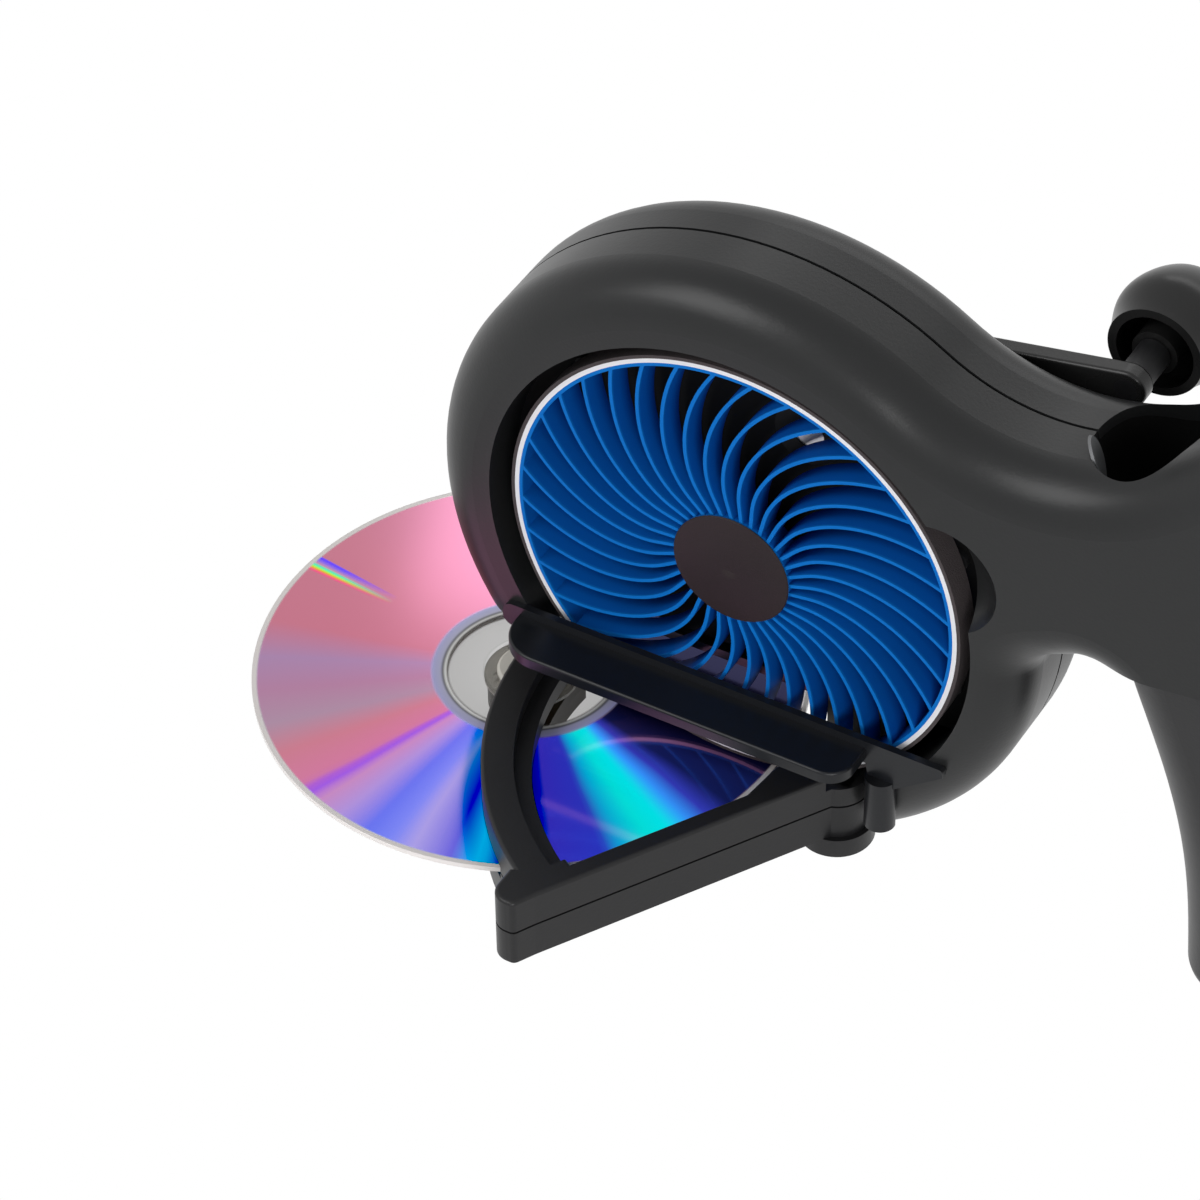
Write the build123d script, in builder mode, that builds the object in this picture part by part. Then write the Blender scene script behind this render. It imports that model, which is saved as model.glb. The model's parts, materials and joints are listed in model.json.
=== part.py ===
from build123d import *
import math
import os

os.makedirs("parts", exist_ok=True)

# A hand-cranked disc repair machine.
# Millimetres, +Z up. The origin is the centre of the grip's foot, on the surface that the
# machine stands on. The user sits at -Y and looks along +Y, and the grip is at the right.
# Sketches are placed by level() and upright(), whose coordinates count from the disc's centre.

# ---- driving dimensions: layout ----
disc_from_foot_x = 166.5      # the disc's axis lies this far to the left of the foot's centre
disc_from_foot_y = 14.55      # and this far in front of it
disc_height = 19.0            # top of the disc above the table
wheel_x = 49.7                # wheel axle, from the disc's centre
wheel_gap = 0.3               # wheel's underside above the disc
gear_angle = 70.0             # direction from the wheel axle to the crank axle
pivot_x = 73.5                # vertical pivot of the tray
pivot_y = 1.5
running_gap = 0.05            # radial clearance of every shaft in its bush
part_gap = 0.3                # clearance between covers and beside moving pieces
seam_gap = 0.7                # shadow line between the shells, and between neck and grip

# ---- driving dimensions: disc and turntable ----
disc_r = 60.0
disc_thick = 1.2
disc_hole_r = 7.5
spindle_r = 7.4
flange_r = 10.2
flange_thick = 0.8
turntable_stem_r = 3.0

# ---- driving dimensions: wheel ----
wheel_r = 52.3
wheel_front_y = -1.6
wheel_depth = 6.3
abrasive_thick = 0.8
backing_thick = 1.0
rim_thick = 0.8
hub_r = 13.2
vane_count = 37
vane_thick = 0.8
vane_tip_angle = 7.4
# how far a vane has turned from its tip, in degrees, at radii as shares of its length
vane_curve = [(0.0, 0.0), (0.143, 4.9), (0.41, 13.3), (0.667, 19.3), (0.819, 20.1), (0.952, 16.8), (1.0, 15.0)]
cap_r = 13.4
cap_height = 1.3
axle_r = 3.0

# ---- driving dimensions: gears and feed ----
gear_module = 1.0
pinion_teeth = 19
crank_teeth = 57
pressure_angle = 20.0
tooth_backlash = 0.22
gear_width = 5.0
gear_front_y = 22.5
crank_axle_r = 3.5
wheel_pulley_r = 4.0
feed_pulley_r = 8.0
pulley_front_y = 9.3
pulley_width = 3.0
pulley_lip = 0.6
belt_width = 1.2
belt_thick = 1.4
belt_sink = 0.4               # how far the belt's inside lies below the pulley's radius
feed_roller_r = 7.3
feed_tyre_thick = 1.0
feed_roller_width = 3.4
feed_contact_r = 16.5         # where the roller stands over the disc's clear hub
feed_axle_r = 2.0

# ---- driving dimensions: housing ----
shell_r = 71.14
belly_r = 68.6
front_y = -4.5
seam_y = 15.87
back_y = 33.6
wall = 2.3
edge_round = 11.0
well_r = 56.0
deck_z = 17.0                 # underside of the housing over the disc
leg_left_x = 66.0
leg_front_y = 10.7
boss_left_x = 84.0
socket_r = 14.5
socket_x = 134.6
socket_z = 111.5
socket_tilt = 15.0
socket_depth = 37.0
joint_x = 135.2               # the grip sleeve meets the neck in a plane through this point
joint_z = 64.8
joint_slope = 7.0
thumb_x = 97.5
thumb_z = 73.0
thumb_r = 14.5
thumb_out = 6.0

# ---- driving dimensions: plate, crank, fasteners ----
plate_front_y = 7.0
plate_thick = 2.0
plate_low_z = 22.0
crank_throw = 56.6
crank_arm_angle = 13.2
arm_gap = 1.5                 # between the arm and the housing's back
arm_thick = 4.2
arm_low_width = 13.0
arm_tip_width = 8.6
knob_r = 10.4
knob_belly_r = 12.6
knob_length = 20.5
knob_gap = 9.0                # between the arm and the knob's open rim
knob_wall = 1.9
knob_pin_r = 2.6
screw_r = 1.45
screw_head_r = 2.9
boss_r = 4.2

# ---- driving dimensions: tray ----
arm_outer_r = 74.5
arm_inner_r = 63.8
arm_step_r = 67.6
tray_top_z = 8.3
tray_seam_z = -0.6
tray_low_z = -9.05
seam_groove = 0.5
arm_ledge_z = 5.2
slot_gap = 1.2                # free height over and under the disc in the tray
bar_width = 4.4
hinge_boss_r = 8.3
hinge_boss_z = -13.8
hinge_pin_r = 2.5

# ---- driving dimensions: guard and badge ----
fin_left_x = -3.0
fin_right_x = 101.4
fin_top_z = 23.2
fin_low_z = 17.2
fin_thick = 1.6
web_left_x = 85.2
web_drop = 8.4
stop_x = 87.0
stop_y = -5.1
stop_r = 3.4
stop_low_z = 1.0
hood_left_x = 1.0
hood_right_x = 83.8
hood_front_y = -16.9
hood_z = 18.5
hood_thick = 2.8
badge_x = 121.0
badge_y = 10.0
badge_z = 101.0

# ---- worked out from them ----
wheel_z = wheel_r + wheel_gap
wheel_back_y = wheel_front_y + wheel_depth
rim_outer_r = wheel_r - abrasive_thick - backing_thick
rim_inner_r = rim_outer_r - rim_thick
centre_distance = gear_module * (pinion_teeth + crank_teeth) / 2
crank_x = wheel_x + centre_distance * math.cos(math.radians(gear_angle))
crank_z = wheel_z + centre_distance * math.sin(math.radians(gear_angle))
knob_x = crank_x + crank_throw * math.cos(math.radians(crank_arm_angle))
knob_z = crank_z + crank_throw * math.sin(math.radians(crank_arm_angle))
plate_back_y = plate_front_y + plate_thick
feed_outer_r = feed_roller_r + feed_tyre_thick
feed_z = feed_outer_r + part_gap
foot_z = -disc_height
inner_front_y = front_y + wall
inner_back_y = back_y - wall
arm_front_y = back_y + arm_gap
grip_y = (front_y + back_y) / 2
gear_back_y = gear_front_y + gear_width
rear_bush_y = gear_back_y + 1.0


def level(z):
    """A horizontal plane, z above the disc's top, centred on the disc."""
    return Plane(origin=(-disc_from_foot_x, -disc_from_foot_y, disc_height + z))


def upright(y):
    """A vertical plane, y behind the disc's centre, that faces the user."""
    return Plane(
        origin=(-disc_from_foot_x, y - disc_from_foot_y, disc_height), x_dir=(1, 0, 0), z_dir=(0, -1, 0)
    )


def round_along_y(x, z, radius, y_near, y_far, mode=Mode.ADD):
    with BuildSketch(upright(y_far)) as section:
        with Locations((x, z)):
            Circle(radius)
    extrude(section.sketch, amount=y_far - y_near, mode=mode)


def round_along_z(x, y, radius, z_low, z_high, mode=Mode.ADD):
    with BuildSketch(level(z_low)) as section:
        with Locations((x, y)):
            Circle(radius)
    extrude(section.sketch, amount=z_high - z_low, mode=mode)


def block(x_range, y_range, z_range, mode=Mode.ADD):
    with BuildSketch(level(z_range[0])) as section:
        with Locations(((x_range[0] + x_range[1]) / 2, (y_range[0] + y_range[1]) / 2)):
            Rectangle(x_range[1] - x_range[0], y_range[1] - y_range[0])
    extrude(section.sketch, amount=z_range[1] - z_range[0], mode=mode)


def around(x, z, radius, angle):
    """A point on a circle of an upright plane."""
    return (x + radius * math.cos(math.radians(angle)), z + radius * math.sin(math.radians(angle)))


def finish(piece, name):
    piece.part.label = name
    export_step(piece.part, f"parts/{name}.step")


# =============== housing ===============
far = 400.0                   # reach of the cutting blocks
belly_turn = 230.0            # the crown's circle runs into the belly's at this angle
belly_x, belly_z = around(wheel_x, wheel_z, shell_r - belly_r, belly_turn)
crown_end = 30.0
saddle_r = 45.0
peak_r = 14.0
peak = (171.5, 145.3)         # the handle's top, before rounding
neck_corner = (135.4, 64.9)
neck_left = (141.5, 40.0)     # the neck's outline runs on into the grip down to here
neck_right = (174.5, 40.0)



def housing_form(inset):
    """The outer form of the two shells, or with an inset the room inside them."""
    with BuildPart() as form:
        with BuildSketch(upright(back_y - inset)) as outline:
            with BuildLine():
                crown = CenterArc((wheel_x, wheel_z), shell_r, crown_end, belly_turn - crown_end)
                belly = CenterArc((belly_x, belly_z), belly_r, belly_turn, 364 - belly_turn)
                Polyline(belly @ 1, neck_corner, neck_left, neck_right, peak, crown @ 0)
            make_face()
            for corner, radius in ((crown @ 0, saddle_r), (peak, peak_r), (belly @ 1, 9), (neck_corner, 8)):
                fillet(outline.vertices().sort_by_distance(Vector(*corner))[0], radius=radius)
            if inset:
                offset(amount=-inset)
        extrude(amount=back_y - front_y - 2 * inset)
        flats = form.faces().sort_by(Axis.Y)
        rims = flats[0].edges() + flats[-1].edges()
        grip_end = disc_height + neck_left[1] + inset + 0.5
        fillet([e for e in rims if e.center().Z > grip_end or e.center().X < -50], radius=edge_round - inset)
        block((-far, leg_left_x + inset), (-far, far), (-far, deck_z + inset), mode=Mode.SUBTRACT)
        block((-far, boss_left_x + inset), (-far, leg_front_y + inset), (-far, deck_z + inset), mode=Mode.SUBTRACT)
    return form.part


outer_form = housing_form(0)
inner_form = housing_form(wall)
joint_plane = Plane(
    origin=(joint_x - disc_from_foot_x, 0, disc_height + joint_z),
    x_dir=(math.cos(math.radians(joint_slope)), 0, math.sin(math.radians(joint_slope))),
    z_dir=(-math.sin(math.radians(joint_slope)), 0, math.cos(math.radians(joint_slope))),
)
cup_wall = 1.3
cup_floor = 1.6
cup_floor_z = cup_floor - socket_depth
socket_plane = Plane(
    origin=(socket_x - disc_from_foot_x, seam_y - disc_from_foot_y, disc_height + socket_z),
    z_dir=(-math.sin(math.radians(socket_tilt)), 0, math.cos(math.radians(socket_tilt))),
)

screw_ring_r = 61.5
shell_screw_spots = [around(wheel_x, wheel_z, screw_ring_r, a) for a in (8, 118, 160, 204)] + [(121, 83)]
leg_screw_spot = (75, 4)
post_ring_r = 50.0
post_spots = [around(wheel_x, wheel_z, post_ring_r, a) for a in (-20, 20, 140, 178)]
post_r = 3.5
chassis_screw_r = 1.25
chassis_head_r = 2.5
chassis_head = 1.4
bracket_spots = [(3, 30), (10, 40)]
thread_gap = 0.05
head_depth = 3.0
shell_screw_length = 26.0
bush_tube_r = 7.0
crank_tube_r = 8.5
wheel_bush_r = 5.0
crank_bush_r = 6.0
plate_bush_r = 5.6
leg_foot_x = (leg_left_x, 78)
leg_foot_y = (12.5, 31)
slot_x = (-14, 27)


def below_joint(gap=0):
    """Cuts away what lies under the plane where the grip sleeve meets the neck."""
    with BuildSketch(joint_plane.offset(gap)) as section:
        with Locations((56, 0)):
            Rectangle(120, 120)
    extrude(section.sketch, amount=-200, mode=Mode.SUBTRACT)


with BuildPart() as front_shell:
    add(outer_form)
    add(inner_form, mode=Mode.SUBTRACT)
    below_joint()
    # the wheel's well and the dished thumb rest at its right
    with BuildPart(mode=Mode.PRIVATE) as inner_walls:
        round_along_y(wheel_x, wheel_z, well_r + wall, front_y + wall / 2, plate_front_y)
        with Locations((thumb_x - disc_from_foot_x, front_y - thumb_out - disc_from_foot_y, thumb_z + disc_height)):
            Sphere(thumb_r + wall)
        for x, z in shell_screw_spots:
            round_along_y(x, z, boss_r, front_y + wall / 2, seam_y)
        round_along_y(*leg_screw_spot, boss_r, leg_front_y + wall / 2, seam_y)
        add(outer_form, mode=Mode.INTERSECT)
    add(inner_walls.part)
    round_along_y(wheel_x, wheel_z, well_r, front_y - 1, plate_front_y, mode=Mode.SUBTRACT)
    with Locations((thumb_x - disc_from_foot_x, front_y - thumb_out - disc_from_foot_y, thumb_z + disc_height)):
        Sphere(thumb_r, mode=Mode.SUBTRACT)
    for x, z in shell_screw_spots:
        round_along_y(x, z, screw_r + thread_gap, front_y + 2 * wall, seam_y, mode=Mode.SUBTRACT)
    round_along_y(*leg_screw_spot, screw_r + thread_gap, leg_front_y + wall, seam_y, mode=Mode.SUBTRACT)
    # the bottle socket's hole
    with BuildSketch(socket_plane.offset(cup_floor_z)) as hole:
        Circle(socket_r)
    extrude(hole.sketch, amount=socket_depth + 40, mode=Mode.SUBTRACT)
    # slot over the feed roller
    block(slot_x, (8.5, far), (deck_z - 1, deck_z + wall + 1), mode=Mode.SUBTRACT)
    # everything behind the seam belongs to the rear shell
    block((-far, far), (seam_y - seam_gap / 2, far), (-far, far), mode=Mode.SUBTRACT)
    # lug that carries the hinge pin, and the front of the foot
    with BuildSketch(level(-16.5)) as lug:
        with Locations((pivot_x, pivot_y)):
            Circle(5.5)
        with Locations((pivot_x - 0.5, (pivot_y + leg_front_y + 1) / 2)):
            Rectangle(11, leg_front_y + 1 - pivot_y)
    extrude(lug.sketch, amount=2.5)
    round_along_z(pivot_x, pivot_y, hinge_pin_r, -17, -13.5, mode=Mode.SUBTRACT)
    block(leg_foot_x, (leg_foot_y[0], seam_y - seam_gap / 2), (foot_z, foot_z + 10))
finish(front_shell, "front_shell")

with BuildPart() as rear_shell:
    add(outer_form)
    add(inner_form, mode=Mode.SUBTRACT)
    below_joint()
    with BuildPart(mode=Mode.PRIVATE) as inner_posts:
        for x, z in post_spots:
            round_along_y(x, z, post_r, plate_back_y, back_y - wall / 2)
        for x, z in shell_screw_spots + [leg_screw_spot]:
            round_along_y(x, z, boss_r, seam_y + seam_gap / 2, back_y - 0.5)
        round_along_y(wheel_x, wheel_z, bush_tube_r, rear_bush_y, back_y - wall / 2)
        round_along_y(crank_x, crank_z, crank_tube_r, rear_bush_y, back_y - wall / 2)
        add(outer_form, mode=Mode.INTERSECT)
    block(slot_x, (8.5, 22), (deck_z - 1, deck_z + wall + 1), mode=Mode.SUBTRACT)
    block((-far, far), (-far, seam_y + seam_gap / 2), (-far, far), mode=Mode.SUBTRACT)
    add(inner_posts.part)
    for x, z in post_spots:
        round_along_y(x, z, chassis_screw_r + thread_gap, plate_back_y, plate_back_y + 11, mode=Mode.SUBTRACT)
    for x, z in shell_screw_spots + [leg_screw_spot]:
        round_along_y(x, z, screw_r + thread_gap, seam_y, back_y, mode=Mode.SUBTRACT)
        round_along_y(x, z, screw_head_r + 0.2, back_y - head_depth, back_y + 1, mode=Mode.SUBTRACT)
    round_along_y(wheel_x, wheel_z, wheel_bush_r, rear_bush_y - 1, back_y - wall, mode=Mode.SUBTRACT)
    round_along_y(crank_x, crank_z, crank_bush_r, rear_bush_y - 1, back_y + 1, mode=Mode.SUBTRACT)
    with BuildSketch(socket_plane.offset(cup_floor_z)) as hole:
        Circle(socket_r)
    extrude(hole.sketch, amount=socket_depth + 40, mode=Mode.SUBTRACT)
    # foot under the leg
    block(leg_foot_x, (seam_y + seam_gap / 2, leg_foot_y[1]), (foot_z, foot_z + 10))
finish(rear_shell, "rear_shell")

with BuildPart() as wheel_guard:
    # upright fin across the mouth of the well, with its web at the right
    with BuildSketch(upright(front_y)) as fin:
        with BuildLine():
            Polyline((fin_left_x, fin_low_z), (hood_right_x, fin_low_z), (web_left_x, fin_low_z - web_drop),
                     (fin_right_x, fin_top_z - 2.0), (fin_right_x, fin_top_z), (fin_left_x, fin_top_z), close=True)
        make_face()
        ends = [(fin_left_x, fin_low_z), (fin_left_x, fin_top_z)]
        for end in ends:
            fillet(fin.vertices().sort_by_distance(Vector(*end))[0], radius=2.6)
        fillet(fin.vertices().sort_by_distance(Vector(fin_right_x, fin_top_z))[0], radius=0.9)
    extrude(amount=fin_thick)
    # rounded stop under the web
    round_along_z(stop_x, stop_y, stop_r, stop_low_z, fin_low_z - 3)
    block((-far, far), (front_y, far), (-far, far), mode=Mode.SUBTRACT)
    # flat hood in front of it
    with BuildSketch(level(hood_z)) as hood:
        with BuildLine():
            Polyline((hood_left_x, front_y - fin_thick / 2), (hood_left_x, hood_front_y), (hood_right_x, hood_front_y),
                     (hood_right_x, front_y - fin_thick / 2), close=True)
        make_face()
        fillet(hood.vertices().sort_by_distance(Vector(hood_left_x, hood_front_y))[0], radius=9.0)
        fillet(hood.vertices().sort_by_distance(Vector(hood_right_x, hood_front_y))[0], radius=5.5)
    extrude(amount=hood_thick)
    fillet(wheel_guard.edges().filter_by_position(Axis.Y, -far, front_y - fin_thick - 0.5 - disc_from_foot_y)
           .group_by(Axis.Z)[-1], radius=0.6)
finish(wheel_guard, "wheel_guard")

with BuildPart() as chassis_plate:
    with BuildSketch(upright(plate_back_y)):
        with Locations((wheel_x, wheel_z)):
            Circle(well_r + 1)
        with Locations((wheel_x, plate_low_z - 50)):
            Rectangle(200, 100, mode=Mode.SUBTRACT)
        with Locations((wheel_x, wheel_z)):
            Circle(wheel_bush_r, mode=Mode.SUBTRACT)
        with Locations((crank_x, crank_z)):
            Circle(plate_bush_r, mode=Mode.SUBTRACT)
        with Locations(*post_spots, *bracket_spots):
            Circle(chassis_screw_r + thread_gap, mode=Mode.SUBTRACT)
    extrude(amount=plate_thick)
finish(chassis_plate, "chassis_plate")

with BuildPart() as chassis_screws:
    for x, z in post_spots:
        round_along_y(x, z, chassis_head_r, plate_front_y - chassis_head, plate_front_y)
        round_along_y(x, z, chassis_screw_r, plate_front_y, plate_back_y + 9)
finish(chassis_screws, "chassis_screws")

with BuildPart() as shell_screws:
    for x, z in shell_screw_spots:
        round_along_y(x, z, screw_head_r, back_y - head_depth - 0.0, back_y - head_depth + 2.0)
        round_along_y(x, z, screw_r, back_y - head_depth - shell_screw_length, back_y - head_depth)
    x, z = leg_screw_spot
    round_along_y(x, z, screw_head_r, back_y - head_depth, back_y - head_depth + 2.0)
    round_along_y(x, z, screw_r, seam_y - 2.5, back_y - head_depth)
finish(shell_screws, "shell_screws")

# =============== grip, bottle socket ===============
# the grip's horizontal sections: height, left, right, depth
grip_sections = [(74, 131.2, 172.2, 37.0), (57.8, 136.2, 172.8, 35.8), (36, 143.6, 174.6, 33.4),
                 (13.5, 149.0, 178.2, 32.0), (-6, 151.2, 181.2, 31.4), (foot_z, 152.0, 182.6, 31.4)]
grip_corner = 13.5
spigot_height = 8.0


def grip_form(inset, low=0.0):
    with BuildPart() as form:
        for z, left, right, depth in grip_sections:
            lift = low if z == foot_z else 0.0
            with BuildSketch(level(z + lift)):
                with Locations(((left + right) / 2, grip_y)):
                    RectangleRounded(right - left - 2 * inset, depth - 2 * inset, grip_corner - inset)
        loft()
    return form.part


with BuildPart() as grip_sleeve:
    add(grip_form(0))
    fillet(grip_sleeve.faces().sort_by(Axis.Z)[0].edges(), radius=5.0)
    add(grip_form(2.6, 3.0), mode=Mode.SUBTRACT)
    with BuildSketch(joint_plane.offset(-seam_gap)) as lid:
        Rectangle(120, 120)
    extrude(lid.sketch, amount=60, mode=Mode.SUBTRACT)
    # spigot that holds it in the neck
    with BuildSketch(level(joint_z - 6)) as spigot:
        with Locations((154.6, grip_y)):
            RectangleRounded(33.0, back_y - front_y - 2 * wall - 2 * part_gap, 9.0)
            RectangleRounded(29.0, back_y - front_y - 2 * wall - 2 * part_gap - 4, 7.0, mode=Mode.SUBTRACT)
    with BuildPart(mode=Mode.PRIVATE) as spigot_room:
        add(grip_form(1.0))
        with BuildSketch(level(joint_z)) as above:
            with Locations((150, grip_y)):
                Rectangle(100, 100)
        extrude(above.sketch, amount=40)
    with BuildPart(mode=Mode.PRIVATE) as spigot_ring:
        extrude(spigot.sketch, amount=6 + spigot_height)
        add(spigot_room.part, mode=Mode.INTERSECT)
    add(spigot_ring.part)
finish(grip_sleeve, "grip_sleeve")

with BuildPart() as bottle_socket:
    # a cup behind the shells' wall, flush with the hole
    with BuildSketch(socket_plane.offset(-socket_depth)):
        Circle(socket_r + cup_wall)
    extrude(amount=socket_depth + 20)
    with BuildSketch(socket_plane.offset(cup_floor_z)):
        Circle(socket_r)
    extrude(amount=socket_depth + 40, mode=Mode.SUBTRACT)
    add(inner_form, mode=Mode.INTERSECT)
finish(bottle_socket, "bottle_socket")

with BuildPart() as socket_badge:
    with BuildSketch(socket_plane.offset(-20)):
        Circle(socket_r)
        Circle(socket_r - 0.6, mode=Mode.SUBTRACT)
    extrude(amount=30)
    with BuildPart(mode=Mode.PRIVATE) as oval:
        with BuildSketch(Plane(origin=(badge_x - disc_from_foot_x, badge_y - disc_from_foot_y, badge_z + disc_height),
                               x_dir=(0, 1, 0), z_dir=(-1, 0, 0))):
            Ellipse(5.2, 8.0)
        extrude(amount=8, both=True)
    add(oval.part, mode=Mode.INTERSECT)
finish(socket_badge, "socket_badge")

# =============== wheel ===============


def turned_along_y(x, z, outline, mode=Mode.ADD):
    """Turns an outline of (radius, y) points about an axis along Y."""
    with BuildSketch(level(z)) as section:
        with BuildLine():
            Polyline([(x + r, y) for r, y in outline], close=True)
        make_face()
    axis = Axis((x - disc_from_foot_x, 0, z + disc_height), (0, 1, 0))
    revolve(section.sketch, axis=axis, mode=mode)


def turned_along_z(x, y, outline, mode=Mode.ADD):
    """Turns an outline of (radius, z) points about an upright axis."""
    with BuildSketch(upright(y)) as section:
        with BuildLine():
            Polyline([(x + r, z) for r, z in outline], close=True)
        make_face()
    axis = Axis((x - disc_from_foot_x, y - disc_from_foot_y, 0), (0, 0, 1))
    revolve(section.sketch, axis=axis, mode=mode)


def vane_shape():
    """One curved vane, about the wheel's centre, from inside the rim to inside the hub."""
    tip_r = rim_outer_r - 0.5
    root_r = hub_r - 0.5
    middle = []
    for share, turn in vane_curve:
        radius = tip_r - share * (tip_r - root_r)
        middle.append(Vector(*around(0, 0, radius, vane_tip_angle + turn), 0))
    sides = []
    for side in (-1, 1):
        edge = []
        for i, point in enumerate(middle):
            along = middle[min(i + 1, len(middle) - 1)] - middle[max(i - 1, 0)]
            across = Vector(-along.Y, along.X, 0).normalized()
            edge.append(point + across * (side * vane_thick / 2))
        sides.append(edge)
    with BuildSketch() as vane:
        with BuildLine():
            first = Spline(*sides[0])
            second = Spline(*sides[1])
            Line(first @ 0, second @ 0)
            Line(first @ 1, second @ 1)
        make_face()
    return vane.sketch


vane = vane_shape()
hub_recess_r = 9.0
hub_recess = 3.0
with BuildPart() as wheel_core:
    with BuildSketch(upright(wheel_back_y)):
        with Locations((wheel_x, wheel_z)):
            with PolarLocations(0, vane_count):
                add(vane)
        with Locations((wheel_x, wheel_z)):
            Circle(rim_outer_r)
            Circle(rim_inner_r, mode=Mode.SUBTRACT)
        with Locations((wheel_x, wheel_z)):
            with PolarLocations(0, vane_count):
                add(vane)
            Circle(hub_r)
            Circle(axle_r, mode=Mode.SUBTRACT)
    extrude(amount=wheel_depth)
    round_along_y(wheel_x, wheel_z, hub_recess_r, wheel_front_y - 1, wheel_front_y + hub_recess, mode=Mode.SUBTRACT)
finish(wheel_core, "wheel_core")

with BuildPart() as wheel_backing:
    round_along_y(wheel_x, wheel_z, wheel_r - abrasive_thick, wheel_front_y, wheel_back_y)
    round_along_y(wheel_x, wheel_z, rim_outer_r, wheel_front_y - 1, wheel_back_y + 1, mode=Mode.SUBTRACT)
finish(wheel_backing, "wheel_backing")

with BuildPart() as abrasive_band:
    round_along_y(wheel_x, wheel_z, wheel_r, wheel_front_y, wheel_back_y)
    round_along_y(wheel_x, wheel_z, wheel_r - abrasive_thick, wheel_front_y - 1, wheel_back_y + 1, mode=Mode.SUBTRACT)
finish(abrasive_band, "abrasive_band")

dome_r = cap_r - 0.2
cap_top_y = wheel_front_y - cap_height
dome_rise = cap_height - 0.7
dome_sphere_r = (dome_r**2 + dome_rise**2) / (2 * dome_rise)


def dome_drop(radius):
    """How far the cap's dome has fallen back from its top at a radius."""
    return dome_sphere_r - math.sqrt(dome_sphere_r**2 - radius**2)


with BuildPart() as hub_cap:
    with BuildSketch(level(wheel_z)) as section:
        with BuildLine():
            side = Line((wheel_x + cap_r - 0.4, wheel_front_y), (wheel_x + cap_r, wheel_front_y - 0.4))
            lip = Line(side @ 1, (wheel_x + cap_r - 0.2, wheel_front_y - 0.7))
            dome = ThreePointArc(lip @ 1, (wheel_x + dome_r / 2, cap_top_y + dome_drop(dome_r / 2)), (wheel_x, cap_top_y))
            Polyline(dome @ 1, (wheel_x, wheel_front_y), side @ 0)
        make_face()
    revolve(section.sketch, axis=Axis((wheel_x - disc_from_foot_x, 0, wheel_z + disc_height), (0, 1, 0)))
    # spigot in the hub's recess
    turned_along_y(wheel_x, wheel_z, [(hub_recess_r - 1.2, wheel_front_y), (hub_recess_r, wheel_front_y),
                                      (hub_recess_r, wheel_front_y + 1.4), (hub_recess_r - 1.2, wheel_front_y + 1.4)])
finish(hub_cap, "hub_cap")

axle_front_y = wheel_front_y + hub_recess
axle_back_y = inner_back_y - 0.6
with BuildPart() as wheel_axle:
    round_along_y(wheel_x, wheel_z, axle_r, axle_front_y, axle_back_y)
    round_along_y(wheel_x, wheel_z, 1.5, axle_front_y, axle_front_y + 8, mode=Mode.SUBTRACT)
finish(wheel_axle, "wheel_axle")

with BuildPart() as hub_screw:
    round_along_y(wheel_x, wheel_z, 5.0, axle_front_y - 1.6, axle_front_y)
    round_along_y(wheel_x, wheel_z, 1.5, axle_front_y, axle_front_y + 8)
finish(hub_screw, "hub_screw")


def pulley_outline(radius, bore):
    y0 = pulley_front_y
    y1 = pulley_front_y + pulley_width
    groove = radius - belt_sink - part_gap
    return [(bore, y0), (radius + pulley_lip, y0), (radius + pulley_lip, y0 + 0.4), (groove, y0 + 0.7),
            (groove, y1 - 0.7), (radius + pulley_lip, y1 - 0.4), (radius + pulley_lip, y1), (bore, y1)]


with BuildPart() as drive_pulley:
    turned_along_y(wheel_x, wheel_z, pulley_outline(wheel_pulley_r, axle_r))
finish(drive_pulley, "drive_pulley")

bush_flange = 1.0
with BuildPart() as wheel_bush:
    turned_along_y(wheel_x, wheel_z, [(axle_r + running_gap, plate_front_y - bush_flange),
                                      (wheel_bush_r + 2, plate_front_y - bush_flange), (wheel_bush_r + 2, plate_front_y),
                                      (wheel_bush_r, plate_front_y), (wheel_bush_r, plate_back_y),
                                      (axle_r + running_gap, plate_back_y)])
finish(wheel_bush, "wheel_bush")

with BuildPart() as rear_wheel_bush:
    turned_along_y(wheel_x, wheel_z, [(axle_r + running_gap, rear_bush_y), (wheel_bush_r, rear_bush_y),
                                      (wheel_bush_r, inner_back_y), (axle_r + running_gap, inner_back_y)])
finish(rear_wheel_bush, "rear_wheel_bush")

# =============== gears ===============


def involute(angle):
    return math.tan(angle) - angle


def gear(x, z, teeth, y_near, y_far, first_tooth):
    """A spur gear with short-tipped involute teeth, its first tooth at the given angle."""
    pitch_r = gear_module * teeth / 2
    base_r = pitch_r * math.cos(math.radians(pressure_angle))
    root_r = pitch_r - 1.15 * gear_module
    tip_r = pitch_r + 0.85 * gear_module
    half = math.pi / (2 * teeth) - tooth_backlash / (4 * pitch_r) + involute(math.radians(pressure_angle))
    flank = []
    for radius in (max(base_r, root_r), pitch_r, tip_r):
        flank.append((radius, half - involute(math.acos(min(1.0, base_r / radius)))))
    if base_r > root_r:
        flank.insert(0, (root_r, flank[0][1]))
    outline = []
    for tooth in range(teeth):
        middle = math.radians(first_tooth) + 2 * math.pi * tooth / teeth
        for radius, spread in flank:
            outline.append((x + radius * math.cos(middle - spread), z + radius * math.sin(middle - spread)))
        for radius, spread in reversed(flank):
            outline.append((x + radius * math.cos(middle + spread), z + radius * math.sin(middle + spread)))
    with BuildSketch(upright(y_far)) as section:
        with BuildLine():
            Polyline(outline, close=True)
        make_face()
    extrude(section.sketch, amount=y_far - y_near)


with BuildPart() as wheel_pinion:
    gear(wheel_x, wheel_z, pinion_teeth, gear_front_y - 0.5, gear_front_y + gear_width + 0.5, gear_angle)
    round_along_y(wheel_x, wheel_z, axle_r, gear_front_y - 1, gear_front_y + gear_width + 1, mode=Mode.SUBTRACT)
finish(wheel_pinion, "wheel_pinion")

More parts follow.
